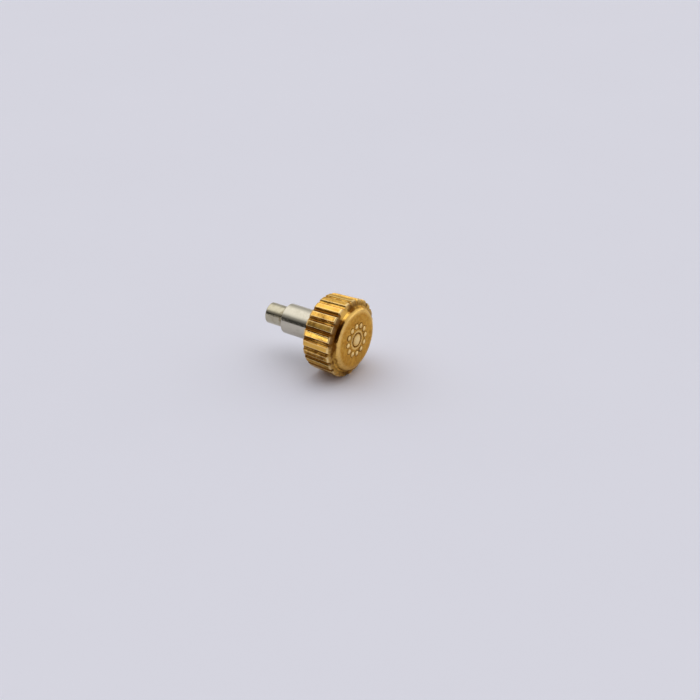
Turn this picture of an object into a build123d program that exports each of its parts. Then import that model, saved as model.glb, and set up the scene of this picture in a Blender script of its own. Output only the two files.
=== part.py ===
from build123d import *

import os
from math import atan2, cos, degrees, pi, radians, tan

# Screw-down watch crown with a sprung stem tenon. Sizes are in millimetres.
# +X runs along the crown's axis towards its face, +Z is up, and x = 0 is the open end of the skirt.

# Fits
solder_gap = 0.01
running_gap = 0.02
cut_overrun = 0.3

# Tenon: the sliding end that the winding stem screws into, with a hexagonal head
neck_diameter = 1.428
tenon_reach = 1.52
tenon_end_bevel = 0.08
tenon_travel = 1.2
head_length = 0.8
hex_sides = 6
stem_hole_diameter = 0.72
stem_hole_depth = 1.9
stem_hole_lead_in = 0.04
stem_drill_angle = 118
spring_nose_length = 0.3

# Bush in the pipe's mouth, which keeps the tenon's head in
bush_wall = 0.136
bush_length = 0.5

# Pipe: fixed in the core, with a hexagonal guide bore and a round spring bore
pipe_wall = 0.15
pipe_reach = 2.92
pipe_mouth_bevel = 0.05
hex_pilot_ease = 0.02
hex_end_room = 0.3
spring_bore_length = 0.82
spigot_wall = 0.23
spigot_length = 0.5

# Spring: round wire, drawn with eight sides to keep its faces few
wire_diameter = 0.15
wire_sides = 8
coil_diameter = 0.86
coil_turns = 8
coil_side_gap = 0.115
nose_side_gap = 0.055

# Seal at the floor of the skirt
gasket_thickness = 0.35
gasket_crush = 0.07
washer_thickness = 0.07
washer_width = 0.58
washer_bore_gap = 0.05
washer_rim_gap = 0.04

# Core: the steel insert that carries the screw-down thread
core_setback = 0.05
core_wall = 0.29
core_floor = 0.29
thread_length = 1.03
thread_lead_in = 0.1
thread_depth = 0.15
boss_ledge = 0.27

# Cap: a gold-plated shell with the fluted band and the raised face
skirt_wall = 0.4075
band_length = 2.03
band_flare = 0.0975
skirt_bevel_length = 0.12
skirt_bevel_depth = 0.06
front_ring_width = 0.46
front_ring_slope = 0.145
face_edge_height = 0.315
face_edge_draft = 0.1
face_dome_rise = 0.06
face_round = 0.3

# Flutes: round grooves between flat lands, one land exactly at the bottom
flute_count = 23
flute_depth = 0.13
flute_width_share = 0.48

# Diameters, worked out from the tenon's neck outwards
bush_bore_diameter = neck_diameter + 2 * running_gap
bush_diameter = bush_bore_diameter + 2 * bush_wall
bush_seat_diameter = bush_diameter + 2 * solder_gap
pipe_diameter = bush_seat_diameter + 2 * pipe_wall
hex_bore_flats = bush_seat_diameter * cos(pi / hex_sides)
hex_head_flats = hex_bore_flats - 2 * running_gap
hex_pilot_diameter = hex_bore_flats + 2 * hex_pilot_ease
spring_bore_diameter = coil_diameter + wire_diameter + 2 * coil_side_gap
spring_nose_diameter = coil_diameter - wire_diameter - 2 * nose_side_gap
spigot_diameter = spring_bore_diameter + 2 * spigot_wall
spigot_hole_diameter = spigot_diameter + 2 * solder_gap
boss_diameter = pipe_diameter + 2 * boss_ledge
washer_bore_diameter = pipe_diameter + 2 * washer_bore_gap
washer_diameter = washer_bore_diameter + 2 * washer_width
thread_minor_diameter = washer_diameter + 2 * washer_rim_gap
seat_recess_diameter = thread_minor_diameter + 2 * thread_depth
core_diameter = seat_recess_diameter + 2 * core_wall
cap_bore_diameter = core_diameter + 2 * solder_gap
skirt_radius = cap_bore_diameter / 2 + skirt_wall
head_radius = skirt_radius + band_flare
face_base_radius = head_radius - front_ring_width
face_top_radius = face_base_radius - face_edge_draft

# Places along the axis
washer_x = core_setback + thread_length
gasket_x = washer_x + washer_thickness
seat_floor_x = gasket_x + gasket_thickness
boss_top_x = gasket_x + gasket_crush
spigot_end_x = boss_top_x + spigot_length
spring_bore_x = spigot_end_x - spring_bore_length
spring_floor_x = spigot_end_x + solder_gap
cap_floor_x = spring_floor_x + core_floor
face_base_x = band_length + front_ring_slope
face_edge_x = face_base_x + face_edge_height
face_top_x = face_edge_x + face_dome_rise
pipe_mouth_x = -pipe_reach
bush_top_x = pipe_mouth_x + bush_length
head_top_x = bush_top_x + head_length
hex_end_x = head_top_x + tenon_travel + hex_end_room
tenon_end_x = pipe_mouth_x - tenon_reach


def turned(points):
    """A solid of revolution about the crown's axis, from its half outline as (x, radius) points."""
    return revolve(make_face(Polyline(*points, close=True)), Axis.X)


def drum(diameter, start_x, end_x):
    """A cylinder on the crown's axis."""
    centre = Pos((start_x + end_x) / 2, 0, 0)
    return centre * Rot(0, 90, 0) * Cylinder(diameter / 2, end_x - start_x)


def hexagon_bar(flats, start_x, end_x):
    """A hexagonal bar on the crown's axis, measured across its flats."""
    section = RegularPolygon(flats / 2, hex_sides, major_radius=False)
    return extrude(Plane.YZ.offset(start_x) * section, end_x - start_x)


def flute_cutter():
    """One round groove along the sloping band, below the axis."""
    slope = degrees(atan2(head_radius - skirt_radius, band_length))
    middle_radius = (head_radius + skirt_radius) / 2
    half_width = flute_width_share * pi * middle_radius / flute_count
    groove_radius = (half_width**2 + flute_depth**2) / (2 * flute_depth)
    centre_radius = middle_radius + groove_radius - flute_depth
    length = face_base_x + 2 * cut_overrun
    bar = Rot(0, 90, 0) * Cylinder(groove_radius, length)
    return Pos(band_length / 2, 0, -centre_radius) * Rot(0, slope, 0) * bar


def crown_cap():
    outline = Polyline(
        (0, 0),
        (0, skirt_radius - skirt_bevel_depth),
        (skirt_bevel_length, skirt_radius),
        (band_length, head_radius),
        (face_base_x, face_base_radius),
        (face_edge_x, face_top_radius),
    )
    dome = TangentArc((face_top_x, 0), (face_edge_x, face_top_radius), tangent=(0, 1))
    axis_line = Line((face_top_x, 0), (0, 0))
    section = make_face(outline + dome + axis_line)
    face_corner = section.vertices().sort_by_distance((face_edge_x, face_top_radius))[0]
    shell = revolve(fillet(face_corner, face_round), Axis.X)
    groove = flute_cutter()
    pitch = 360 / flute_count
    shell -= [Rot((index + 1 / 2) * pitch, 0, 0) * groove for index in range(flute_count)]
    return shell - drum(cap_bore_diameter, -cut_overrun, cap_floor_x)


def threaded_core():
    core_radius = core_diameter / 2
    thread_radius = thread_minor_diameter / 2
    recess_radius = seat_recess_diameter / 2
    boss_radius = boss_diameter / 2
    hole_radius = spigot_hole_diameter / 2
    return turned(
        [
            (core_setback, thread_radius + thread_lead_in),
            (core_setback, core_radius),
            (cap_floor_x, core_radius),
            (cap_floor_x, 0),
            (spring_floor_x, 0),
            (spring_floor_x, hole_radius),
            (boss_top_x, hole_radius),
            (boss_top_x, boss_radius),
            (seat_floor_x, boss_radius),
            (seat_floor_x, recess_radius),
            (washer_x, recess_radius),
            (washer_x, thread_radius),
            (core_setback + thread_lead_in, thread_radius),
        ]
    )


def sealing_gasket():
    disc = drum(seat_recess_diameter - 2 * solder_gap, gasket_x, seat_floor_x)
    return disc - drum(boss_diameter + 2 * solder_gap, gasket_x - cut_overrun, seat_floor_x + cut_overrun)


def gasket_washer():
    disc = drum(washer_diameter, washer_x, gasket_x)
    return disc - drum(washer_bore_diameter, washer_x - cut_overrun, gasket_x + cut_overrun)


def pipe():
    barrel = drum(pipe_diameter, pipe_mouth_x, boss_top_x)
    mouth_edge = barrel.edges().filter_by(GeomType.CIRCLE).sort_by(Axis.X)[0]
    body = chamfer(mouth_edge, pipe_mouth_bevel)
    body += drum(spigot_diameter, boss_top_x, spigot_end_x)
    body -= drum(spring_bore_diameter, spring_bore_x, spigot_end_x + cut_overrun)
    body -= drum(hex_pilot_diameter, bush_top_x, spring_bore_x)
    body -= hexagon_bar(hex_bore_flats, bush_top_x, hex_end_x)
    return body - drum(bush_seat_diameter, pipe_mouth_x - cut_overrun, bush_top_x)


def retaining_bush():
    bush = drum(bush_diameter, pipe_mouth_x, bush_top_x)
    return bush - drum(bush_bore_diameter, pipe_mouth_x - cut_overrun, bush_top_x + cut_overrun)


def stem_hole():
    """The tapped hole's space, with its drill point inside and its lead-in at the tenon's end."""
    radius = stem_hole_diameter / 2
    end_x = tenon_end_x + stem_hole_depth
    drill_point = radius / tan(radians(stem_drill_angle / 2))
    return turned(
        [
            (tenon_end_x - cut_overrun, 0),
            (tenon_end_x - cut_overrun, radius + stem_hole_lead_in),
            (tenon_end_x, radius + stem_hole_lead_in),
            (tenon_end_x + stem_hole_lead_in, radius),
            (end_x, radius),
            (end_x + drill_point, 0),
        ]
    )


def tenon():
    neck = drum(neck_diameter, tenon_end_x, bush_top_x)
    end_edge = neck.edges().filter_by(GeomType.CIRCLE).sort_by(Axis.X)[0]
    body = chamfer(end_edge, tenon_end_bevel)
    body += hexagon_bar(hex_head_flats, bush_top_x, head_top_x)
    body += drum(spring_nose_diameter, head_top_x, head_top_x + spring_nose_length)
    return body - stem_hole()


def tenon_spring():
    wire_radius = wire_diameter / 2
    start_x = head_top_x + wire_radius + solder_gap
    end_x = spring_floor_x - wire_radius - solder_gap
    height = end_x - start_x
    coil = Helix(height / coil_turns, height, coil_diameter / 2, center=(start_x, 0, 0), direction=(1, 0, 0))
    section = Plane(origin=coil @ 0, z_dir=coil % 0) * RegularPolygon(wire_radius, wire_sides)
    return sweep(section, path=coil, is_frenet=True)


nodes = {
    "crown_cap": crown_cap(),
    "threaded_core": threaded_core(),
    "sealing_gasket": sealing_gasket(),
    "gasket_washer": gasket_washer(),
    "pipe": pipe(),
    "retaining_bush": retaining_bush(),
    "tenon": tenon(),
    "tenon_spring": tenon_spring(),
}

os.makedirs("parts", exist_ok=True)
for name, solid in nodes.items():
    export_step(solid, os.path.join("parts", name + ".step"))
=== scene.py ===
from math import cos, pi, radians, sin, tan

import bmesh
import bpy
import numpy as np
from mathutils import Matrix, Vector


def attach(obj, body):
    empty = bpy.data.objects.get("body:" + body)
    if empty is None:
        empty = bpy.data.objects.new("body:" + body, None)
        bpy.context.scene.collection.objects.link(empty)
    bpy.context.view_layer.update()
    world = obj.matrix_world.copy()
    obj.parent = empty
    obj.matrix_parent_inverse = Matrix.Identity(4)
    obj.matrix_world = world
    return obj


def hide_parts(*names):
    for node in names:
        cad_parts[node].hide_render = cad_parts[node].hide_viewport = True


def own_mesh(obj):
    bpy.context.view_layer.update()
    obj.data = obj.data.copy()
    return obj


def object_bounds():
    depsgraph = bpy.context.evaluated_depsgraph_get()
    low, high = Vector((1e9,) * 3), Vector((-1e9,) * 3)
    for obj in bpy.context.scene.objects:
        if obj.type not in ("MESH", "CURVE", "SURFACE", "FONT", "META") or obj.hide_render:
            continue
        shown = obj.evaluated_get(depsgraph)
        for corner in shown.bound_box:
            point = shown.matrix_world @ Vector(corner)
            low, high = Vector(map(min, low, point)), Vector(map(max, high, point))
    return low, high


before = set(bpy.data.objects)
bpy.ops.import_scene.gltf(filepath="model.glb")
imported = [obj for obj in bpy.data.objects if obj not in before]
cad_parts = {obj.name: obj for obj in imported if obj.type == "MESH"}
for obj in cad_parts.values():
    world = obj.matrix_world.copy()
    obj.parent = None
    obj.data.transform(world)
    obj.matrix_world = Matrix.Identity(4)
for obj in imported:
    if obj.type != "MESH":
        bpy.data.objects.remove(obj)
cad_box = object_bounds()

# -------------------- Studio
# The crown lies on its flutes on a sheet of pale card, inside a white tent. The tent is bright
# overhead, softer behind and plain at both ends. In front and round the camera it is open and
# dark, which gives the metal its dark bands.

mm = 0.001
camera_azimuth = radians(34.4)
camera_elevation = radians(28.5)
camera_distance = 128.5
camera_lens = 100
camera_sensor = 36
camera_clip = (0.01, 10)
aim_right = 1.661
aim_down = 1.341
card_width = 6000
card_colour = (0.822, 0.83, 0.933)
card_roughness = 0.9
card_shine = 0.25
card_mottle_scale = 90
card_mottle = 0.02

# Brightness along the tent's left, middle and right arch, as (place, glow) pairs. Place 0 is the
# front horizon, 0.5 the top and 1 the back horizon.
left_glow = (
    (0.00, 0.06), (0.05, 0.03), (0.13, 0.07), (0.19, 0.30), (0.24, 0.45),
    (0.31, 1.06), (0.39, 1.36), (0.64, 1.40), (0.73, 0.98), (0.82, 0.62),
    (0.92, 0.55), (1.00, 0.75),
)
middle_glow = (
    (0.00, 0.90), (0.08, 0.70), (0.14, 0.20), (0.28, 0.40), (0.38, 1.35),
    (0.62, 1.45), (0.76, 1.05), (0.88, 1.00), (1.00, 1.20),
)
right_glow = (
    (0.00, 1.20), (0.10, 0.70), (0.18, 0.10), (0.30, 0.20), (0.42, 0.68),
    (0.60, 0.72), (0.74, 0.80), (0.88, 0.92), (1.00, 1.25),
)
left_to_middle = (-0.45, 0.00)
middle_to_right = (0.05, 0.55)
tent_tint = (1.0, 0.995, 0.985)
tent_range = 2.0

# The dark opening round the camera, the bright gap beside it, and the tent's plain ends. An edge
# is where a spot starts and where it is full, as the cosine of the angle to its middle.
shade_place = (0.497, -0.725, 0.477)
shade_edge = (0.64, 0.84)
shade_share = 0.97
shade_colour = (0.07, 0.036, 0.016)
gap_place = (-0.665, -0.744, 0.065)
gap_edge = (0.9903, 0.9958)
gap_share = 1.0
gap_glow = 2.0
end_edge = (0.78, 0.95)
end_colour = (0.69, 0.685, 0.755)


def add_node(tree, kind, inputs=(), **settings):
    """Adds a node. inputs pairs a socket's name or number with a value or the socket that feeds it."""
    node = tree.nodes.new(kind)
    for name, value in settings.items():
        setattr(node, name, value)
    for socket, value in inputs:
        if isinstance(value, bpy.types.NodeSocket):
            tree.links.new(value, node.inputs[socket])
        else:
            node.inputs[socket].default_value = value
    return node


def maths(tree, operation, *values, clamp=False):
    """The result of one Math node."""
    node = add_node(tree, "ShaderNodeMath", enumerate(values), operation=operation, use_clamp=clamp)
    return node.outputs[0]


def times(tree, first, second, clamp=False):
    """One value times another."""
    return maths(tree, "MULTIPLY", first, second, clamp=clamp)


def noise(tree, place, scale, detail=2.0, roughness=0.5):
    """A value that wanders between 0 and 1, in blotches about 1 / scale wide."""
    inputs = (("Vector", place), ("Scale", scale), ("Detail", detail), ("Roughness", roughness))
    return add_node(tree, "ShaderNodeTexNoise", inputs).outputs["Fac"]


def smooth_step(tree, value, low, high):
    """0 where value is below low, 1 above high, and a smooth rise between."""
    inputs = (("Value", value), ("From Min", low), ("From Max", high))
    node = add_node(tree, "ShaderNodeMapRange", inputs, interpolation_type="SMOOTHSTEP")
    return node.outputs["Result"]


def mix_colour(tree, share, first, second):
    """A colour between two, by share."""
    # Several sockets of a Mix node have the same name, so the colour ones go by number
    inputs = ((0, share), (6, first), (7, second))
    return add_node(tree, "ShaderNodeMix", inputs, data_type="RGBA").outputs[2]


def new_material(name):
    """An empty material with its output and Principled shader."""
    material = bpy.data.materials.new(name)
    material.use_nodes = True
    tree = material.node_tree
    tree.nodes.clear()
    shader = tree.nodes.new("ShaderNodeBsdfPrincipled")
    add_node(tree, "ShaderNodeOutputMaterial", (("Surface", shader.outputs[0]),))
    return material, tree, shader


def place_camera():
    """Looks from the photograph's angle at a point a little to the right and below the origin."""
    level = cos(camera_elevation)
    back = Vector((sin(camera_azimuth) * level, -cos(camera_azimuth) * level, sin(camera_elevation)))
    right = Vector((cos(camera_azimuth), sin(camera_azimuth), 0))
    up = back.cross(right)
    spot = (right * aim_right - up * aim_down + back * camera_distance) * mm
    data = bpy.data.cameras.new("camera")
    data.lens = camera_lens
    data.sensor_width = camera_sensor
    data.clip_start, data.clip_end = camera_clip
    camera = bpy.data.objects.new("camera", data)
    camera.matrix_world = Matrix.Translation(spot) @ Matrix((right, up, back)).transposed().to_4x4()
    bpy.context.scene.collection.objects.link(camera)
    bpy.context.scene.camera = camera


def lay_card():
    """A wide sheet of faintly mottled card, level with the lowest land."""
    half = card_width * mm / 2
    low = cad_box[0].z
    mesh = bpy.data.meshes.new("card")
    corners = [(-half, -half, low), (half, -half, low), (half, half, low), (-half, half, low)]
    mesh.from_pydata(corners, [], [(0, 1, 2, 3)])
    card = bpy.data.objects.new("card", mesh)
    bpy.context.scene.collection.objects.link(card)
    material, tree, shader = new_material("pale_card")
    place = add_node(tree, "ShaderNodeTexCoord").outputs["Object"]
    pale = (*card_colour, 1)
    darker = (*[value * (1 - card_mottle) for value in card_colour], 1)
    colour = mix_colour(tree, noise(tree, place, card_mottle_scale), pale, darker)
    tree.links.new(colour, shader.inputs["Base Color"])
    shader.inputs["Roughness"].default_value = card_roughness
    shader.inputs["Specular IOR Level"].default_value = card_shine
    mesh.materials.append(material)


def tent_colour(glow, tint=tent_tint):
    """A glowing tint, divided by the tent's range because a ramp holds no more than 1."""
    return (*[glow * part / tent_range for part in tint], 1)


def glow_ramp(tree, turn, glows):
    """The tent's colour along one arch, from the front horizon over the top to the back one."""
    ramp = add_node(tree, "ShaderNodeValToRGB", (("Fac", turn),))
    stops = ramp.color_ramp.elements
    while len(stops) < len(glows):
        stops.new(1.0)
    for stop, (place, glow) in zip(stops, glows):
        stop.position = place
        stop.color = tent_colour(glow)
    return ramp.outputs["Color"]


def raise_tent():
    """Makes the tent as the world's colour in each direction."""
    world = bpy.data.worlds.new("tent")
    world.use_nodes = True
    tree = world.node_tree
    tree.nodes.clear()
    way = add_node(tree, "ShaderNodeTexCoord").outputs["Generated"]
    along, across, height = add_node(tree, "ShaderNodeSeparateXYZ", ((0, way),)).outputs
    height = maths(tree, "MAXIMUM", height, 0.0)
    front = times(tree, across, -1.0)
    turn = maths(tree, "DIVIDE", maths(tree, "ARCTAN2", height, front), pi)
    left, middle, right = [glow_ramp(tree, turn, glows) for glows in (left_glow, middle_glow, right_glow)]
    colour = mix_colour(tree, smooth_step(tree, along, *left_to_middle), left, middle)
    colour = mix_colour(tree, smooth_step(tree, along, *middle_to_right), colour, right)
    spots = (
        (shade_place, shade_edge, shade_share, tent_colour(1, shade_colour)),
        (gap_place, gap_edge, gap_share, tent_colour(gap_glow)),
    )
    for place, edge, most, spot_colour in spots:
        facing = add_node(tree, "ShaderNodeVectorMath", ((0, way), (1, place)), operation="DOT_PRODUCT")
        share = times(tree, smooth_step(tree, facing.outputs["Value"], *edge), most)
        colour = mix_colour(tree, share, colour, spot_colour)
    at_end = smooth_step(tree, maths(tree, "ABSOLUTE", along), *end_edge)
    colour = mix_colour(tree, at_end, colour, tent_colour(1, end_colour))
    glow = add_node(tree, "ShaderNodeBackground", (("Color", colour), ("Strength", tent_range)))
    add_node(tree, "ShaderNodeOutputWorld", (("Surface", glow.outputs[0]),))
    bpy.context.scene.world = world


place_camera()
lay_card()
raise_tent()
bpy.context.scene.view_settings.view_transform = "Standard"

# -------------------- Threaded core
# The steel insert of the head, turned from bar and pressed into the gold-plated cap. Its skirt
# carries the fine thread that screws down on the case tube, and its middle holds the pipe.

core_columns = 96
core_start = 0.05
core_radius = 2.14
core_end = 2.02
core_hole_radius = 0.86
core_hole_floor = 1.73
core_boss_radius = 1.30
core_boss_top = 1.22
core_recess_radius = 1.85
core_recess_floor = 1.50
core_thread_end = 1.08
core_thread_crest = 1.70
core_thread_depth = 0.12
core_thread_pitch = 0.25
core_lead_in = 1.83
core_easing = 0.02
steel_colour = (0.57, 0.53, 0.435)
steel_dull = (0.20, 0.17, 0.12)

# Rows of a thread along one pitch, the width of its flat crest and root, and the turns beyond its
# length, which lie flat on its two ends
thread_phases = (0, 0.06, 0.155, 0.25, 0.345, 0.44, 0.5, 0.56, 0.655, 0.75, 0.845, 0.94)
thread_flat = 0.12
thread_spare_turns = 3

# How every mesh is made: room for even shading beside a round, welding, and what counts as a crease
even_margin = 0.5
weld_distance = 0.0001 * mm
crease_angle = radians(32)

# How every metal ages: its blotches, where they and the stains and painted shade turn dull, how far
# edges are rubbed, how lathe rings fade, and how scratches lie, as (rotation, stretch) pairs
blotch_fineness = 5.0
blotch_fine_share = 0.35
patch_edge = (0.45, 0.65)
dull_raggedness = 2.2
dull_edge = (1.25, 2.05)
rubbed_reach = 1.25
ring_fade_scale = 1.5
noise_middle = 0.5
mark_sockets = ((("Vector", "Position"), ("Float", "Spacing", "Depth")), (("Float", "Height"),))
scratch_ways = (((0.4, 0.9, 0.2), 0.03), ((1.3, -0.5, 0.8), 0.02), ((-0.7, 0.3, 1.9), 0.04))
scratch_fineness = 4.0
scratch_edge = (0.68, 0.76)
scratch_spacing = 0.35
scratch_share = 0.5


def eased_outline(corners, steps=4):
    """Half outline as (x, radius) points, from corners (x, radius, easing) that are each rounded off.

    A point just before and after each round keeps the shading of the straights even."""
    points = []
    for index, (x, radius, easing) in enumerate(corners):
        here = Vector((x, radius))
        if not easing:
            points.append((x, radius))
            continue
        to_last = Vector(corners[index - 1][:2]) - here
        to_next = Vector(corners[(index + 1) % len(corners)][:2]) - here
        before, after = to_last.normalized(), to_next.normalized()
        half_angle = before.angle(after) / 2
        reach = easing / tan(half_angle)
        centre = here + (before + after).normalized() * easing / sin(half_angle)
        start, end = here + before * reach - centre, here + after * reach - centre
        arc = [centre + start.lerp(end, step / steps).normalized() * easing for step in range(steps + 1)]
        room_before, room_after = to_last.length / 2 - reach, to_next.length / 2 - reach
        if room_before > easing * even_margin:
            arc.insert(0, here + before * (reach + easing * even_margin))
        if room_after > easing * even_margin:
            arc.append(here + after * (reach + easing * even_margin))
        points += [tuple(point) for point in arc]
    return points


def round_angles(columns):
    """Even angles round the axis, from straight down."""
    return np.arange(columns) * 2 * pi / columns


def rings_at(x, radius, angles, *masks):
    """Rows of points at x and radius round the axis, each with its masks.

    Every value may be one number or an array."""
    x, radius, angles, *masks = np.broadcast_arrays(x, radius, angles, *masks)
    return np.stack([x, radius * np.sin(angles), -radius * np.cos(angles), *masks], axis=-1)


def ring_patch(rings, closed=False):
    """Vertices and faces of the surface through a row of rings."""
    rows, columns = rings.shape[:2]
    faces = []
    for row in range(rows if closed else rows - 1):
        here, there = row * columns, (row + 1) % rows * columns
        for column in range(columns):
            turn = (column + 1) % columns
            faces.append((here + column, here + turn, there + turn, there + column))
    return rings.reshape(rows * columns, -1), faces


def turned_patch(corners, columns, closed=False):
    """The surface that a half outline of eased corners sweeps when it is turned round the axis."""
    outline = np.array(eased_outline(corners))
    return ring_patch(rings_at(outline[:, :1], outline[:, 1:], round_angles(columns)), closed)


def thread_share(phase):
    """How far a thread is cut in along one pitch, from 0 at its crest to 1 at its root."""
    ridge = np.abs(2 * (phase % 1) - 1)
    return np.clip((ridge - thread_flat) / (1 - 2 * thread_flat), 0, 1)


def thread_patch(start, end, pitch, columns, radius_at):
    """A right-handed thread as a strip wound from start to end. radius_at(x, phase) gives its radius."""
    turns = int((end - start) / pitch) + thread_spare_turns
    steps = len(thread_phases)
    row_phase = np.array([turn + phase for turn in range(turns) for phase in thread_phases])[:, None] - 1
    shift = np.arange(columns)[None, :] / columns
    x = np.clip(start + pitch * (row_phase + shift), start, end)
    radius = radius_at(x, (x - start) / pitch - shift)
    points = rings_at(x, radius, round_angles(columns)).reshape(-1, 3)
    rows = len(row_phase)
    faces = []
    for row in range(rows - 1):
        for column in range(columns - 1):
            corner = row * columns + column
            faces.append((corner, corner + 1, corner + columns + 1, corner + columns))
        if row + steps + 1 < rows:
            corner, seam = row * columns + columns - 1, (row + steps) * columns
            faces.append((corner, seam, seam + columns, corner + columns))
    return points, faces


def solid_piece(name, material, *patches, masks=()):
    """A closed piece from patches in millimetres, welded along their shared rings.

    masks names the columns of the patches' points that follow x, y and z."""
    faces, start = [], 0
    for points, patch_faces in patches:
        faces += [tuple(corner + start for corner in face) for face in patch_faces]
        start += len(points)
    table = np.concatenate([points for points, _ in patches])
    mesh = bpy.data.meshes.new(name)
    mesh.from_pydata(table[:, :3] * mm, [], faces)
    for column, mask in enumerate(masks, start=3):
        values = np.ascontiguousarray(table[:, column], dtype=np.float32)
        mesh.attributes.new(mask, "FLOAT", "POINT").data.foreach_set("value", values)
    shell = bmesh.new()
    shell.from_mesh(mesh)
    bmesh.ops.remove_doubles(shell, verts=shell.verts, dist=weld_distance)
    bmesh.ops.dissolve_degenerate(shell, dist=weld_distance, edges=shell.edges)
    bmesh.ops.recalc_face_normals(shell, faces=shell.faces)
    shell.to_mesh(mesh)
    shell.free()
    mesh.shade_smooth()
    mesh.set_sharp_from_angle(angle=crease_angle)
    mesh.materials.append(material)
    piece = bpy.data.objects.new(name, mesh)
    bpy.context.scene.collection.objects.link(piece)
    return piece


def new_group(name, inputs, outputs):
    """A shader node group with sockets given as (kind, name, name, ...), and its two end nodes."""
    group = bpy.data.node_groups.new(name, "ShaderNodeTree")
    for side, rows in (("INPUT", inputs), ("OUTPUT", outputs)):
        for kind, *labels in rows:
            for label in labels:
                group.interface.new_socket(label, in_out=side, socket_type="NodeSocket" + kind)
    return group, group.nodes.new("NodeGroupInput").outputs, group.nodes.new("NodeGroupOutput").inputs


def make_aged_metal():
    """Bare metal that is dull in blotches, where stains lie and where shade is painted, and bright on
    rubbed edges.
    """
    group, given, result = new_group(
        "aged_metal",
        (
            ("Vector", "Position"),
            ("Color", "Fresh", "Dull", "Rubbed"),
            ("Float", "Crevice", "Edge", "Patch Size", "Patchiness"),
            ("Float", "Fresh Roughness", "Dull Roughness", "Rubbed Roughness"),
        ),
        (("Color", "Color"), ("Float", "Roughness")),
    )
    scale = maths(group, "DIVIDE", 1.0, given["Patch Size"])
    broad = noise(group, given["Position"], scale, detail=3.0)
    fine = noise(group, given["Position"], times(group, scale, blotch_fineness), detail=4.0)
    rest = times(group, broad, 1 - blotch_fine_share)
    blotch = maths(group, "MULTIPLY_ADD", fine, blotch_fine_share, rest)
    patch = times(group, smooth_step(group, blotch, *patch_edge), given["Patchiness"])
    ragged = maths(group, "MULTIPLY_ADD", blotch, dull_raggedness, given["Crevice"])
    dull = maths(group, "MAXIMUM", patch, smooth_step(group, ragged, *dull_edge), clamp=True)
    bared = maths(group, "SUBTRACT", rubbed_reach, blotch)
    rubbed = times(group, given["Edge"], bared, clamp=True)
    colour = mix_colour(group, dull, given["Fresh"], given["Dull"])
    colour = mix_colour(group, rubbed, colour, given["Rubbed"])
    group.links.new(colour, result["Color"])
    roughness = given["Fresh Roughness"]
    for share, target in ((dull, given["Dull Roughness"]), (rubbed, given["Rubbed Roughness"])):
        step = maths(group, "SUBTRACT", target, roughness)
        roughness = maths(group, "MULTIPLY_ADD", step, share, roughness)
    group.links.new(roughness, result["Roughness"])
    return group


def make_turning_marks():
    """Height of the fine rings that a lathe tool leaves, in millimetres round zero."""
    group, given, result = new_group("turning_marks", *mark_sockets)
    split = add_node(group, "ShaderNodeSeparateXYZ", ((0, given["Position"]),)).outputs
    flat = add_node(group, "ShaderNodeCombineXYZ", ((1, split["Y"]), (2, split["Z"]))).outputs[0]
    radius = add_node(group, "ShaderNodeVectorMath", ((0, flat),), operation="LENGTH").outputs["Value"]
    lane = add_node(group, "ShaderNodeCombineXYZ", ((0, split["X"]), (1, radius))).outputs[0]
    rings = noise(group, lane, maths(group, "DIVIDE", 1.0, given["Spacing"]))
    ridge = maths(group, "SUBTRACT", rings, noise_middle)
    fading = maths(group, "ADD", noise(group, given["Position"], ring_fade_scale), noise_middle)
    faded = times(group, ridge, fading)
    group.links.new(times(group, faded, given["Depth"]), result["Height"])
    return group


def make_fine_scratches():
    """Height of fine scratches and pits that run in a few directions, in millimetres, 0 between them."""
    group, given, result = new_group("fine_scratches", *mark_sockets)
    scale = maths(group, "DIVIDE", scratch_fineness, given["Spacing"])
    lines = 0.0
    for rotation, stretch in scratch_ways:
        inputs = (("Vector", given["Position"]), ("Rotation", rotation), ("Scale", (1, stretch, 1)))
        turned = add_node(group, "ShaderNodeMapping", inputs).outputs[0]
        line = smooth_step(group, noise(group, turned, scale, detail=0.0), *scratch_edge)
        lines = maths(group, "MAXIMUM", lines, line)
    depth = times(group, lines, given["Depth"])
    group.links.new(times(group, depth, -1.0), result["Height"])
    return group


aged_metal = make_aged_metal()
turning_marks = make_turning_marks()
fine_scratches = make_fine_scratches()


def position_in_mm(tree):
    """Place on the surface, in millimetres from the origin."""
    place = add_node(tree, "ShaderNodeTexCoord").outputs["Object"]
    scaled = add_node(tree, "ShaderNodeVectorMath", ((0, place), ("Scale", 1 / mm)), operation="SCALE")
    return scaled.outputs[0]


def set_aged_metal(tree, shader, *inputs):
    """Makes a shader bare metal, with the colour and roughness of aged_metal."""
    look = add_node(tree, "ShaderNodeGroup", inputs, node_tree=aged_metal).outputs
    tree.links.new(look["Color"], shader.inputs["Base Color"])
    tree.links.new(look["Roughness"], shader.inputs["Roughness"])
    shader.inputs["Metallic"].default_value = 1.0


def marks(tree, group, place, spacing, depth):
    """Height of turning_marks or fine_scratches."""
    inputs = (("Position", place), ("Spacing", spacing), ("Depth", depth))
    return add_node(tree, "ShaderNodeGroup", inputs, node_tree=group).outputs["Height"]


def set_relief(tree, shader, total, *heights):
    """Adds up heights in millimetres and bends the shader's normal by them."""
    for height in heights:
        total = maths(tree, "ADD", total, height)
    bump = add_node(tree, "ShaderNodeBump", (("Height", total), ("Distance", mm)))
    tree.links.new(bump.outputs[0], shader.inputs["Normal"])


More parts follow.
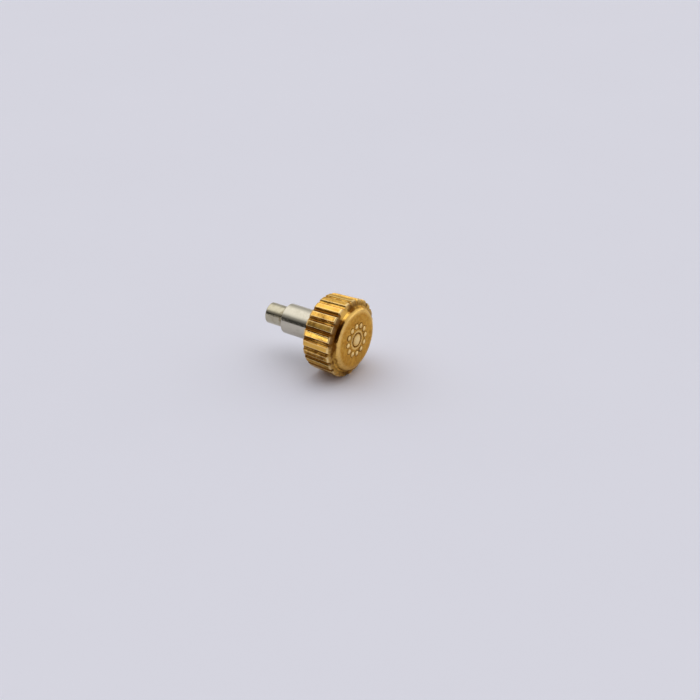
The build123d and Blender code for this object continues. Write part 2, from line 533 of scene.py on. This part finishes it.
def turned_metal(name, patches, roughness, rings, fresh=steel_colour, dull=steel_dull, stain=None):
    """Turned metal with faint dull patches, lathe rings and fine scratches.

    patches is their (size, share), roughness that of the fresh and the dull metal, and rings the
    lathe rings' (spacing, depth). Grease dulls the metal more and more along the stain's two places."""
    material, tree, shader = new_material(name)
    place = position_in_mm(tree)
    inputs = [
        ("Position", place),
        ("Fresh", (*fresh, 1)),
        ("Dull", (*dull, 1)),
        ("Patch Size", patches[0]),
        ("Patchiness", patches[1]),
        ("Fresh Roughness", roughness[0]),
        ("Dull Roughness", roughness[1]),
    ]
    if stain:
        along = add_node(tree, "ShaderNodeSeparateXYZ", ((0, place),)).outputs["X"]
        inputs.append(("Crevice", smooth_step(tree, along, *stain)))
    set_aged_metal(tree, shader, *inputs)
    lathe_rings = marks(tree, turning_marks, place, *rings)
    scratches = marks(tree, fine_scratches, place, scratch_spacing, rings[1] * scratch_share)
    set_relief(tree, shader, lathe_rings, scratches)
    return material


def core_thread_radius(x, phase):
    """Cut into the bore, with a cone at the mouth and another into the seal's recess."""
    cut = core_thread_crest + core_thread_depth * thread_share(phase)
    mouth = core_lead_in - (x - core_start)
    recess = core_recess_radius - (core_thread_end - x)
    return np.maximum(cut, np.maximum(mouth, recess))


core_inside = [
    (core_thread_end, core_recess_radius, 0),
    (core_recess_floor, core_recess_radius, core_easing),
    (core_recess_floor, core_boss_radius, core_easing),
    (core_boss_top, core_boss_radius, core_easing),
    (core_boss_top, core_hole_radius, core_easing),
    (core_hole_floor, core_hole_radius, core_easing),
    (core_hole_floor, 0, 0),
]
core_outside = [
    (core_end, 0, 0),
    (core_end, core_radius, core_easing),
    (core_start, core_radius, core_easing),
    (core_start, core_lead_in, 0),
]
core_steel = turned_metal("core_steel", patches=(0.5, 0.35), roughness=(0.32, 0.5), rings=(0.03, 0.0012))
core = solid_piece(
    "threaded_insert",
    core_steel,
    turned_patch(core_inside, core_columns),
    turned_patch(core_outside, core_columns),
    thread_patch(core_start, core_thread_end, core_thread_pitch, core_columns, core_thread_radius),
)
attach(core, "head")
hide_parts("threaded_core")

# -------------------- Cap
# The shell of the head, of gold-plated brass, pressed over the core. Its band has round flutes for
# the fingers, and a narrow sloping ring joins them to the raised satin face with its ring of beads.
# Hands rub its edges bright, and tarnish and dirt stay where they don't reach. Painted shade darkens
# the face's edge and the sloping ring on the side towards the camera, as the dark reflection of the
# tent's open front, and the tarnish on some lands is partly a painted dark reflection.

cap_skirt_radius = 2.5575
bevel_length = 0.12
bevel_depth = 0.06
lip_width = 0.012
lip_easing = 0.015
lip_inset = 0.004
cap_rim_radii = (2.4, 2.25)
cap_bore_radius = 2.15
cap_bore_floor = 2.02
cap_bore_easing = 0.02
band_end = 2.03
band_rows = 20
cap_head_radius = 2.655
land_easing = 0.035
groove_easing = 0.015
settle_rate = 4
cap_ring_end = 2.175
cap_ring_radius = 2.195
cap_ring_easing = 0.04
cap_ring_rows = 5
far_off = 10
foot_top = 2.25
foot_fade = 0.08
foot_turn = 0.6
face_edge = 2.49
face_radius = 2.095
face_easing = 0.30
face_steps = 8
dome_top = 2.55
dome_rim = 1.74
dome_middle = 0.40
dome_step = 0.03
dome_centre_rows = 12

# Flutes: (share of the way, rubbed) points over half a land, rubbed points round its edge, and
# points down to the floor
flute_count = 23
flute_share = 0.48
flute_depth = 0.13
flute_edge = 0.022
flute_variation = 0.05
flute_limits = (-1.5, 1)
flute_seed = 11
land_points = ((0, 0), (0.5, 0), (0.9, 0.3))
edge_points = (1, 1, 0.8)
floor_points = 5

# Hand wear, as (waves round the axis, slide along it, start), and where the metal is tarnished,
# dirty, darkened with painted shade, left clear, rubbed or satin. A side is its angle and how closely
# the mask keeps to it
wear_waves = ((5, 0.7, 0.4), (11, 1.9, 2.1), (17, -1.3, 4.0), (26, 2.6, 1.2), (37, -3.1, 5.3))
wear_calm = 3
wear_depth = 0.004
tarnish_and_shade_seed = 51201
dent_depth = 0.002
dent_drift = 3
cap_masks = ("stain_and_shade", "edge", "satin")
tarnish_rise = 1.8
tarnish_flute_least = 0.25
tarnish_flute_spread = 1.2
# Tarnish on the lands is partly painted: the seed picks which lands are darker, as dark reflections of the
# shaded card
land_tarnish_and_shade_spread = 1.1
land_tarnish_and_shade_most = 0.7
dirt_and_shade_top = 2.47
dirt_and_shade_fade = 0.14
# Painted shade round this side darkens the face's edge and the ring, as a dark reflection of the tent's
# front
painted_shade_side = (radians(225), 3)
dirt_least = 0.4
# How much painted shade that side gets on top of the dirt all round
painted_shade_depth = 0.85
dirt_on_ring = 0.85
dirt_ring_loss = 0.35
dirt_on_corners = 0.35
dirt_on_rim = 0.3
dirt_in_bore = 0.6
# One spot is left clear of dirt and painted shade, so that the polished gold there shows a glint
clear_side = (radians(203), 75)
rubbed_face = 0.3
rubbed_ring = 0.2
rubbed_corner = 0.8
rubbed_skirt = 0.5
rubbed_rim = 0.4
satin_rim = 1.95
satin_fade = 0.15

# Decoration of the face. A groove is the (place, width) of the dirt round a raised form
bead_count = 12
bead_circle = 0.98
bead_radius = 0.18
bead_height = 0.075
bead_fullness = 0.75
bead_unevenness = (0.08, 2.3, 0.5)
bead_groove = (1.12, 0.16)
boss_radius = 0.42
boss_height = 0.085
boss_fullness = 0.7
boss_groove = (0.47, 0.05)
boss_ring_radius = 0.60
boss_ring_width = 0.07
boss_ring_height = 0.04
relief_foot = 0.02
relief_polish = 2

gold_colour = (0.82, 0.47, 0.095)
gold_face_colour = (0.70, 0.39, 0.07)
gold_face_warm = (0.57, 0.26, 0.035)
# Dull gold is the colour of tarnish and dirt, and also of the painted shade
gold_dull = (0.15, 0.052, 0.005)
gold_rubbed = (0.98, 0.76, 0.38)
gold_rim_tint = (1.0, 0.86, 0.60)
gold_roughness = 0.10
gold_satin_roughness = 0.30
gold_mottle_scale = 3.5
gold_mottle_edge = (0.38, 0.64)
gold_frost_scale = 22.0
gold_frost_mottle = 3.0
gold_frost_depth = 0.018
gold_scratch_spacing = 0.3
gold_scratch_depth = 0.0012
gold_streak_scale = 5.0
gold_streak_stretch = 0.1
gold_streak_depth = 0.007

cap_middle_radius = (cap_skirt_radius + cap_head_radius) / 2
flute_pitch = 2 * pi / flute_count
band_flare = (cap_head_radius - cap_skirt_radius) / (band_end - bevel_length)
cap_ring_fall = (cap_head_radius - cap_ring_radius) / (cap_ring_end - band_end)


def flute_section():
    """One flute with the halves of the lands beside it: sideways place, depth and edge mask."""
    half_width = flute_share * pi * cap_middle_radius / flute_count
    groove_radius = (half_width**2 + flute_depth**2) / (2 * flute_depth)
    lift = groove_radius - flute_depth
    shoulder = np.sqrt((groove_radius + flute_edge) ** 2 - (lift + flute_edge) ** 2)
    wall_turn = np.arctan2(shoulder, lift + flute_edge)
    half_pitch = flute_pitch * cap_middle_radius / 2
    land = [(half_pitch + (shoulder - half_pitch) * along, 0, rubbed) for along, rubbed in land_points]
    edge = [
        (shoulder - flute_edge * sin(turn), flute_edge * (1 - cos(turn)), rubbed)
        for turn, rubbed in zip(np.linspace(0, wall_turn, len(edge_points) + 1), edge_points)
    ]
    floor = [
        (groove_radius * sin(turn), groove_radius * cos(turn) - lift, 0)
        for turn in np.linspace(wall_turn, 0, floor_points)
    ]
    half = land + edge + floor
    mirrored = [(-place, depth, rubbed) for place, depth, rubbed in half]
    return np.array(mirrored + half[-2:0:-1]).T


def unevenness(angles, x):
    """Slow waves of hand wear, between about -1 and 1."""
    total = np.zeros(np.broadcast(angles, x).shape)
    for waves, slide, start in wear_waves:
        total = total + np.sin(waves * angles + slide * x + start) / wear_calm
    return total


def cap_columns():
    """The fluted band's columns: angles, depths, edge and tarnish-and-shade masks, and as many even
    angles.
    """
    places, depths, edges = flute_section()
    middles = (np.arange(flute_count) + 0.5) * flute_pitch
    angles = (middles[:, None] + places[None, :] / cap_middle_radius).ravel()
    chance = np.random.default_rng(flute_seed).standard_normal(flute_count)
    variation = 1 + flute_variation * chance.clip(*flute_limits)
    # Random tarnish per flute and land; on the lands it is partly a painted dark reflection
    wear = np.random.default_rng(tarnish_and_shade_seed)
    on_land, in_flute = wear.random(flute_count), wear.random(flute_count)
    share = np.clip(tarnish_rise * depths / flute_depth, 0, 1)
    land = np.where(places > 0, np.roll(on_land, -1)[:, None], on_land[:, None])
    flute_tarnish = tarnish_flute_least + tarnish_flute_spread * in_flute[:, None]
    land_tarnish_and_shade = np.clip(land_tarnish_and_shade_spread * land, 0, land_tarnish_and_shade_most)
    tarnish_and_shade = share * flute_tarnish + (1 - share) * land_tarnish_and_shade
    depths = (depths[None, :] * variation[:, None]).ravel()
    return angles, depths, np.tile(edges, flute_count), tarnish_and_shade.ravel(), round_angles(len(angles))


def dome_height(radius):
    """Place of the domed face along the axis."""
    return dome_top - (dome_top - face_edge) * (radius / face_radius) ** 2


def side_mask(angles, side, gather):
    """1 at one side of the cap, fading round it faster the larger gather is."""
    return np.exp(gather * (np.cos(angles - side) - 1))


def cap_body_rings():
    """Rings from the dome's rim, over the face's edge, the front ring and the flutes, into the bore."""
    angles, depths, edges, tarnish_and_shade, even = cap_columns()
    share = depths / flute_depth
    on_land = 1 - share
    # Dirt all round and painted shade on one side, both left off at the clear spot
    clear_spot = side_mask(even, *clear_side)
    dirt_and_shade = (dirt_least + painted_shade_depth * side_mask(even, *painted_shade_side)) * (1 - clear_spot)
    ring_dirt_and_shade = np.maximum(dirt_and_shade, dirt_on_ring * (1 - clear_spot))
    rings = []

    def add(x, radius, turn=1.0, stain_and_shade=0.0, edge=0.0, satin=0.0):
        """One more ring, whose columns follow the flutes by turn."""
        rings.append(rings_at(x, radius, angles * turn + even * (1 - turn), stain_and_shade, edge, satin))

    def band(x):
        """Radius of the fluted band, with its hand wear."""
        wear = wear_depth * on_land * (1 + unevenness(angles, x))
        return cap_skirt_radius + band_flare * (x - bevel_length) - depths - wear

    # Over the face's edge, down to its foot
    face = [
        (dome_height(dome_rim), dome_rim, 0),
        (face_edge, face_radius, face_easing),
        (cap_ring_end, cap_ring_radius, cap_ring_easing),
        (band_end, cap_head_radius, 0),
    ]
    face_points = eased_outline(face, steps=face_steps)[:-1]
    # The face's edge and foot get the dirt and the painted shade
    for x, radius in face_points:
        below_face = np.clip((dirt_and_shade_top - x) / dirt_and_shade_fade, 0, 1)
        foot = np.clip((foot_top - x) / foot_fade, 0, 1)
        satin = np.clip((satin_rim - radius) / satin_fade, 0, 1)
        rubbed = rubbed_face * (1 - below_face) * (1 - satin)
        add(x, radius, foot * foot_turn, stain_and_shade=dirt_and_shade * below_face, edge=rubbed, satin=satin)

    # Along the sloping ring and round the corner where the flutes run out of it
    foot_x, foot_radius = face_points[-1]
    corner_x = band_end + depths / (band_flare + cap_ring_fall)
    corner_radius = cap_head_radius + band_flare * (corner_x - band_end) - depths
    easing = land_easing + (groove_easing - land_easing) * share
    corner = [(far_off, -far_off * cap_ring_fall, 0), (0, 0, 1), (-far_off, -far_off * band_flare, 0)]
    arc = np.array(eased_outline(corner)[1:-1])
    arc_x, arc_radius = corner_x + easing * arc[:, :1], corner_radius + easing * arc[:, 1:]
    for step in range(1, cap_ring_rows):
        along = step / cap_ring_rows
        x = foot_x + (arc_x[0] - foot_x) * along
        radius = foot_radius + (arc_radius[0] - foot_radius) * along
        turn = foot_turn + (1 - foot_turn) * along
        stain_and_shade = np.maximum(ring_dirt_and_shade * (1 - dirt_ring_loss * along), tarnish_and_shade * along)
        add(x, radius, turn, stain_and_shade=stain_and_shade, edge=rubbed_ring * along * on_land)
    for x, radius in zip(arc_x, arc_radius):
        add(x, radius, stain_and_shade=np.maximum(tarnish_and_shade, dirt_on_corners), edge=on_land * rubbed_corner)

    # Back along the flutes to the skirt's bevel
    last_x = arc_x[-1]
    settle = arc_radius[-1] - band(last_x)
    bevel_fall = bevel_depth - band_flare * bevel_length - depths
    bevel_x = np.maximum(bevel_fall / (bevel_depth / bevel_length - band_flare), lip_width)
    band_start = bevel_x + lip_easing
    for step in range(1, band_rows + 1):
        along = step / band_rows
        x = last_x + (band_start - last_x) * along
        fade = np.clip(1 - along * settle_rate, 0, 1)
        add(x, band(x) + settle * fade, stain_and_shade=tarnish_and_shade, edge=edges)

    # Down the bevel, across the rim and into the bore
    flute_end = cap_skirt_radius - band_flare * bevel_length - depths - lip_width
    end_radius = np.minimum(cap_skirt_radius - bevel_depth, flute_end)
    for along, inset in ((0.0, lip_inset), (0.5, 0.0), (1.0, 0.0)):
        x = bevel_x + (lip_width - bevel_x) * along
        radius = band(bevel_x) + (end_radius - band(bevel_x)) * along - inset
        add(x, radius, stain_and_shade=tarnish_and_shade, edge=rubbed_skirt * on_land)
    add(0.0, end_radius - lip_width, stain_and_shade=dirt_on_rim, edge=rubbed_rim)
    for radius in cap_rim_radii:
        add(0.0, radius, stain_and_shade=dirt_on_corners)
    bore = [
        (0, cap_rim_radii[-1], 0),
        (0, cap_bore_radius, cap_bore_easing),
        (cap_bore_floor, cap_bore_radius, cap_bore_easing),
        (cap_bore_floor, 0, 0),
    ]
    for x, radius in eased_outline(bore)[1:]:
        add(x, radius, stain_and_shade=dirt_in_bore)
    return np.array(rings)


def swell(away, fullness):
    """Height share of a round form, 1 at its middle and 0 from where away is 1."""
    return np.clip(1 - away**2, 0, 1) ** fullness


def groove_mask(value, place, width):
    """1 at the groove's place, fading to both sides."""
    return np.exp(-(((value - place) / width) ** 2))


def relief(radius, angles):
    """Height, and the dirt round the foot, of the bead ring and the boss on the face."""
    step = 2 * pi / bead_count
    number = np.round(angles / step)
    sideways = radius * np.sin(angles - number * step)
    outward = radius * np.cos(angles - number * step) - bead_circle
    away = np.hypot(sideways, outward) / bead_radius
    amount, turn, start = bead_unevenness
    size = 1 + amount * np.sin(number * turn + start)
    beads = bead_height * size * swell(away, bead_fullness)
    boss = boss_height * swell(radius / boss_radius, boss_fullness)
    ring = boss_ring_height * swell((radius - boss_ring_radius) / boss_ring_width, boss_fullness)
    height = np.maximum(beads, np.maximum(boss, ring))
    near = groove_mask(away, *bead_groove) + groove_mask(radius, *boss_groove)
    return height, np.clip(near, 0, 1) * (height < relief_foot)


def dome_rings(radii, columns):
    """Rings over the domed face, with its decoration and small dents."""
    radii, angles = np.array(radii)[:, None], round_angles(columns)[None, :]
    height, stain_and_shade = relief(radii, angles)
    top = height / bead_height
    dents = dent_depth * unevenness(angles, dent_drift * radii) * (radii / dome_rim)
    x = dome_height(radii) + height + dents
    return rings_at(x, radii, angles, stain_and_shade, np.clip(top, 0, 1), 1 - np.clip(top * relief_polish, 0, 1))


def halving_patch(fine, coarse):
    """Joins a ring to one with half as many points."""
    count = len(coarse)
    faces = []
    for index in range(count):
        near, middle, far = 2 * index, 2 * index + 1, (2 * index + 2) % (2 * count)
        inner, turn = 2 * count + index, 2 * count + (index + 1) % count
        faces += [(near, middle, inner), (middle, turn, inner), (middle, far, turn)]
    return np.concatenate([fine, coarse]), faces


def cap_gold():
    """Polished gold plate with a warmer satin face, aged and darkened with painted shade where the mesh's
    masks say.
    """
    material, tree, shader = new_material("gold_plate")
    place = position_in_mm(tree)
    stain_and_shade, edge, satin = [
        add_node(tree, "ShaderNodeAttribute", attribute_name=mask).outputs["Fac"] for mask in cap_masks
    ]
    mottle = noise(tree, place, gold_mottle_scale, detail=6.0, roughness=0.7)
    warmth = smooth_step(tree, mottle, *gold_mottle_edge)
    face = mix_colour(tree, warmth, (*gold_face_colour, 1), (*gold_face_warm, 1))
    set_aged_metal(
        tree,
        shader,
        ("Position", place),
        ("Fresh", mix_colour(tree, satin, (*gold_colour, 1), face)),
        ("Dull", (*gold_dull, 1)),
        ("Rubbed", (*gold_rubbed, 1)),
        ("Crevice", stain_and_shade),
        ("Edge", edge),
        ("Patch Size", 0.8),
        ("Patchiness", 0.25),
        ("Fresh Roughness", maths(tree, "MULTIPLY_ADD", satin, gold_satin_roughness, gold_roughness)),
        ("Dull Roughness", 0.22),
        ("Rubbed Roughness", 0.12),
    )
    shader.inputs["Specular Tint"].default_value = (*gold_rim_tint, 1)
    fine_frost = noise(tree, place, gold_frost_scale, detail=3.0)
    frost = maths(tree, "MULTIPLY_ADD", mottle, gold_frost_mottle, fine_frost)
    frost = times(tree, times(tree, frost, satin), gold_frost_depth)
    scratches = marks(tree, fine_scratches, place, gold_scratch_spacing, gold_scratch_depth)
    stretch_inputs = (("Vector", place), ("Scale", (gold_streak_stretch, 1, 1)))
    stretched = add_node(tree, "ShaderNodeMapping", stretch_inputs).outputs[0]
    streaks = noise(tree, stretched, gold_streak_scale, detail=3.0)
    streaks = times(tree, streaks, maths(tree, "SUBTRACT", 1.0, satin))
    streaks = times(tree, streaks, gold_streak_depth)
    set_relief(tree, shader, frost, scratches, streaks)
    return material


body_rings = cap_body_rings()
body_columns = body_rings.shape[1]
middle_radii = np.arange(dome_rim - dome_step, dome_middle, -dome_step)
centre_radii = np.linspace(dome_middle - dome_step / 2, 0, dome_centre_rows)
middle_rings = dome_rings(middle_radii, body_columns // 2)
centre_rings = dome_rings(centre_radii, body_columns // 4)
cap = solid_piece(
    "fluted_cap",
    cap_gold(),
    ring_patch(body_rings),
    halving_patch(body_rings[0], middle_rings[0]),
    ring_patch(middle_rings),
    halving_patch(middle_rings[-1], centre_rings[0]),
    ring_patch(centre_rings),
    masks=cap_masks,
)
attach(cap, "head")
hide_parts("crown_cap")

# -------------------- Centre pipe
# A turned steel pipe, soldered by its spigot into the core. It slides in the case tube's bore, and
# its own bore is broached to a hexagon, so that the tenon in it slides but turns with the head.

pipe_columns = 144
pipe_radius = 1.03
pipe_mouth = -2.92
pipe_mouth_bevel = 0.05
pipe_shoulder = 1.22
pipe_end = 1.72
pipe_spigot_radius = 0.85
pipe_seat_radius = 0.88
pipe_seat_floor = -2.42
pipe_flats = 1.524
pipe_hex_end = -0.12
pipe_pilot_radius = 0.782
pipe_pilot_end = 0.90
pipe_spring_radius = 0.62
pipe_easing = 0.012


def hexagon_radius(flats):
    """Radius of a hexagonal section at each column, with a flat straight down."""
    turn = (round_angles(pipe_columns) + pi / 6) % (pi / 3) - pi / 6
    return flats / 2 / np.cos(turn)


def hexagon_patch(places):
    """The surface through rings at (x, radius) places, where a radius may be that of a hexagon."""
    angles = round_angles(pipe_columns)
    return ring_patch(np.stack([rings_at(x, radius, angles) for x, radius in places]))


pipe_barrel = [
    (pipe_mouth, pipe_seat_radius + pipe_mouth_bevel, 0),
    (pipe_mouth, pipe_radius - pipe_mouth_bevel, pipe_easing),
    (pipe_mouth + pipe_mouth_bevel, pipe_radius, pipe_easing),
    (pipe_shoulder, pipe_radius, pipe_easing),
    (pipe_shoulder, pipe_spigot_radius, pipe_easing),
    (pipe_end, pipe_spigot_radius, 2 * pipe_easing),
    (pipe_end, pipe_spring_radius, pipe_easing),
    (pipe_pilot_end, pipe_spring_radius, 0),
    (pipe_pilot_end, pipe_pilot_radius, 0),
    (pipe_hex_end, pipe_pilot_radius, 0),
]
pipe_hexagon = [
    (pipe_hex_end, pipe_pilot_radius),
    (pipe_hex_end, hexagon_radius(pipe_flats)),
    (pipe_seat_floor, hexagon_radius(pipe_flats)),
    (pipe_seat_floor, pipe_seat_radius),
]
pipe_seat = [
    (pipe_seat_floor, pipe_seat_radius, 0),
    (pipe_mouth, pipe_seat_radius, pipe_easing),
    (pipe_mouth, pipe_seat_radius + pipe_mouth_bevel, 0),
]
pipe_steel = turned_metal("pipe_steel", patches=(0.6, 0.18), roughness=(0.10, 0.30), rings=(0.035, 0.0006))
pipe = solid_piece(
    "centre_pipe",
    pipe_steel,
    turned_patch(pipe_barrel, pipe_columns),
    hexagon_patch(pipe_hexagon),
    turned_patch(pipe_seat, pipe_columns),
)
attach(pipe, "head")
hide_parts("pipe")

# -------------------- Sealing gasket
# A flat ring of black nitrile rubber at the floor of the skirt. The rim of the case tube presses it
# through the washer when the crown is screwed down, so its sides bulge a little.

gasket_inner = 1.31
gasket_outer = 1.84
gasket_start = 1.15
gasket_end = 1.50
gasket_easing = 0.05
gasket_bulge = 0.025
gasket_colour = (0.018, 0.018, 0.020)
gasket_roughness = 0.62
gasket_grain_scale = 40.0
gasket_grain_depth = 0.004
dust_colour = (0.10, 0.095, 0.09)
dust_scale = 3.0
dust_edge = (0.5, 0.75)
dust_share = 0.6
dust_roughness = 0.25


def rubber():
    """Black rubber with a fine moulded grain and a little dust."""
    material, tree, shader = new_material("gasket_rubber")
    place = position_in_mm(tree)
    dusty = smooth_step(tree, noise(tree, place, dust_scale, detail=5.0), *dust_edge)
    dusty = times(tree, dusty, dust_share)
    colour = mix_colour(tree, dusty, (*gasket_colour, 1), (*dust_colour, 1))
    tree.links.new(colour, shader.inputs["Base Color"])
    roughness = maths(tree, "MULTIPLY_ADD", dusty, dust_roughness, gasket_roughness)
    tree.links.new(roughness, shader.inputs["Roughness"])
    grain = times(tree, noise(tree, place, gasket_grain_scale), gasket_grain_depth)
    set_relief(tree, shader, grain)
    return material


gasket_middle = (gasket_start + gasket_end) / 2
gasket_corners = [
    (gasket_start, gasket_inner + gasket_bulge, gasket_easing),
    (gasket_middle, gasket_inner, gasket_easing),
    (gasket_end, gasket_inner + gasket_bulge, gasket_easing),
    (gasket_end, gasket_outer - gasket_bulge, gasket_easing),
    (gasket_middle, gasket_outer, gasket_easing),
    (gasket_start, gasket_outer - gasket_bulge, gasket_easing),
]
gasket_ring = turned_patch(gasket_corners, core_columns, closed=True)
gasket = solid_piece("rubber_gasket", rubber(), gasket_ring)
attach(gasket, "head")
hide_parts("sealing_gasket")

# -------------------- Gasket washer
# A thin stamped steel washer that lies loose on the gasket, so that the case tube's rim turns on
# metal and not on rubber. Stamping leaves one side's edges rounded and the other's sharp.

washer_inner = 1.08
washer_outer = 1.66
washer_start = 1.08
washer_end = 1.15
washer_rolled = 0.03
washer_sharp = 0.006
washer_colour = (0.64, 0.62, 0.58)

washer_corners = [
    (washer_start, washer_inner, washer_rolled),
    (washer_end, washer_inner, washer_sharp),
    (washer_end, washer_outer, washer_sharp),
    (washer_start, washer_outer, washer_rolled),
]
washer_steel = turned_metal(
    "washer_steel", patches=(0.3, 0.3), roughness=(0.3, 0.5), rings=(0.06, 0.001), fresh=washer_colour
)
washer_ring = turned_patch(washer_corners, core_columns, closed=True)
washer = solid_piece("stamped_washer", washer_steel, washer_ring)
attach(washer, "head")
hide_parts("gasket_washer")

# -------------------- Tenon
# The steel tenon that the watch's winding stem screws into. Its hexagonal head slides in the pipe
# against the spring, its turned neck comes out through the bush, and its end is tapped. Grease
# collects beside the bush and stains the neck there.

tenon_neck_radius = 0.714
tenon_end = -4.44
tenon_end_bevel = 0.08
tenon_end_easing = 0.015
tenon_head_start = -2.42
tenon_head_end = -1.62
tenon_flats = 1.484
tenon_head_bevel = 0.06
tenon_nose_radius = 0.30
tenon_nose_end = -1.32
tenon_nose_foot_easing = 0.02
tenon_nose_easing = 0.04
tenon_hole_radius = 0.36
tenon_hole_depth = 1.9
tenon_hole_lead_in = 0.455
tenon_hole_easing = 0.01
tenon_drill_point = 0.216
tenon_thread_end = -2.71
tenon_thread_depth = 0.09
tenon_thread_pitch = 0.225
tenon_thread_fade = 0.3
tenon_colour = (0.50, 0.46, 0.345)
tenon_dull = (0.22, 0.17, 0.09)
tenon_grime = (-3.6, -2.83)

tenon_hole_end = tenon_end + tenon_hole_depth
tenon_corner_radius = tenon_flats / 2 / cos(pi / 6)
tenon_bevel_radius = np.minimum(hexagon_radius(tenon_flats), tenon_corner_radius - tenon_head_bevel)


def stem_thread_radius(x, phase):
    """Tapped into the drilled hole: full at the mouth, running out before the hole's end."""
    full = np.clip((tenon_thread_end - x) / tenon_thread_fade, 0, 1)
    cut = tenon_hole_radius + tenon_thread_depth * thread_share(phase) * full
    return np.maximum(cut, tenon_hole_lead_in - (x - tenon_end))


tenon_neck = [
    (tenon_end, tenon_hole_lead_in, 0),
    (tenon_end, tenon_neck_radius - tenon_end_bevel, tenon_end_easing),
    (tenon_end + tenon_end_bevel, tenon_neck_radius, tenon_end_easing),
    (tenon_head_start, tenon_neck_radius, 0),
]
tenon_head = [
    (tenon_head_start, tenon_neck_radius),
    (tenon_head_start, tenon_bevel_radius),
    (tenon_head_start + tenon_head_bevel / 2, hexagon_radius(tenon_flats)),
    (tenon_head_end - tenon_head_bevel / 2, hexagon_radius(tenon_flats)),
    (tenon_head_end, tenon_bevel_radius),
    (tenon_head_end, tenon_flats / 2 - tenon_head_bevel),
]
tenon_nose = [
    (tenon_head_end, tenon_flats / 2 - tenon_head_bevel, 0),
    (tenon_head_end, tenon_nose_radius, tenon_nose_foot_easing),
    (tenon_nose_end, tenon_nose_radius, tenon_nose_easing),
    (tenon_nose_end, 0, 0),
]
tenon_hole = [
    (tenon_thread_end, tenon_hole_radius, 0),
    (tenon_hole_end, tenon_hole_radius, tenon_hole_easing),
    (tenon_hole_end + tenon_drill_point, 0, 0),
]
tenon_steel = turned_metal(
    "tenon_steel",
    patches=(0.4, 0.25),
    roughness=(0.12, 0.34),
    rings=(0.03, 0.0008),
    fresh=tenon_colour,
    dull=tenon_dull,
    stain=tenon_grime,
)
tenon = solid_piece(
    "stem_tenon",
    tenon_steel,
    turned_patch(tenon_neck, pipe_columns),
    hexagon_patch(tenon_head),
    turned_patch(tenon_nose, pipe_columns),
    turned_patch(tenon_hole, pipe_columns),
    thread_patch(tenon_end, tenon_thread_end, tenon_thread_pitch, pipe_columns, stem_thread_radius),
)
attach(tenon, "tenon")
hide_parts("tenon")

# -------------------- Tenon spring
# A compression spring of hard drawn steel wire between the tenon's head and the core. Its end turns
# are closed, and it shortens by the tenon's whole travel when the crown is screwed down.

spring_wire = 0.15
spring_circle = 0.86
spring_start = -1.62
spring_end = 1.73
spring_turns = 9
spring_closed_turns = 1
spring_steps = 40
spring_sides = 12
spring_gap = 0.01
spring_colour = (0.58, 0.58, 0.58)


def spring_patch():
    """Round wire wound round the axis, with a closed turn and a flat end at each side."""
    wire = spring_wire / 2
    first, last = spring_start + wire + spring_gap, spring_end - wire - spring_gap
    turns = np.linspace(0, spring_turns, spring_turns * spring_steps + 1)
    from_last_open = turns - spring_turns + spring_closed_turns
    closed = np.minimum(turns, spring_closed_turns) + np.maximum(from_last_open, 0)
    open_turns = spring_turns - 2 * spring_closed_turns
    spread = (last - first - 2 * spring_closed_turns * spring_wire) / open_turns
    x = first + closed * spring_wire + (turns - closed) * spread
    angles = turns * 2 * pi
    centre, outward = rings_at(x, spring_circle / 2, angles), rings_at(0, 1, angles)
    ahead = np.gradient(centre, axis=0)
    ahead /= np.linalg.norm(ahead, axis=1)[:, None]
    sideways = np.cross(ahead, outward)
    roll = round_angles(spring_sides)[None, :, None]
    around = centre[:, None] + wire * (np.cos(roll) * outward[:, None] + np.sin(roll) * sideways[:, None])
    start_cap, end_cap = [np.broadcast_to(end, (1, spring_sides, 3)) for end in (centre[0], centre[-1])]
    return ring_patch(np.concatenate([start_cap, around, end_cap]))


spring_steel = turned_metal(
    "spring_steel", patches=(0.3, 0.4), roughness=(0.22, 0.4), rings=(0.05, 0.0008), fresh=spring_colour
)
spring = solid_piece("coil_spring", spring_steel, spring_patch())
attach(spring, "head")
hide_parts("tenon_spring")
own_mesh(spring)

# -------------------- Retaining bush
# A turned brass bush pressed into the pipe's mouth once the spring and the tenon are in. It keeps
# the tenon's head inside and guides its neck.

bush_inner = 0.734
bush_outer = 0.87
bush_start = -2.92
bush_end = -2.42
bush_easing = 0.02
brass_colour = (0.72, 0.57, 0.27)
brass_dull = (0.24, 0.15, 0.05)

bush_corners = [
    (bush_start, bush_inner, bush_easing),
    (bush_start, bush_outer, bush_easing),
    (bush_end, bush_outer, bush_easing),
    (bush_end, bush_inner, bush_easing),
]
bush_brass = turned_metal(
    "bush_brass",
    patches=(0.25, 0.6),
    roughness=(0.3, 0.5),
    rings=(0.04, 0.001),
    fresh=brass_colour,
    dull=brass_dull,
)
bush_ring = turned_patch(bush_corners, core_columns, closed=True)
bush = solid_piece("brass_bush", bush_brass, bush_ring)
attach(bush, "head")
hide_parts("retaining_bush")
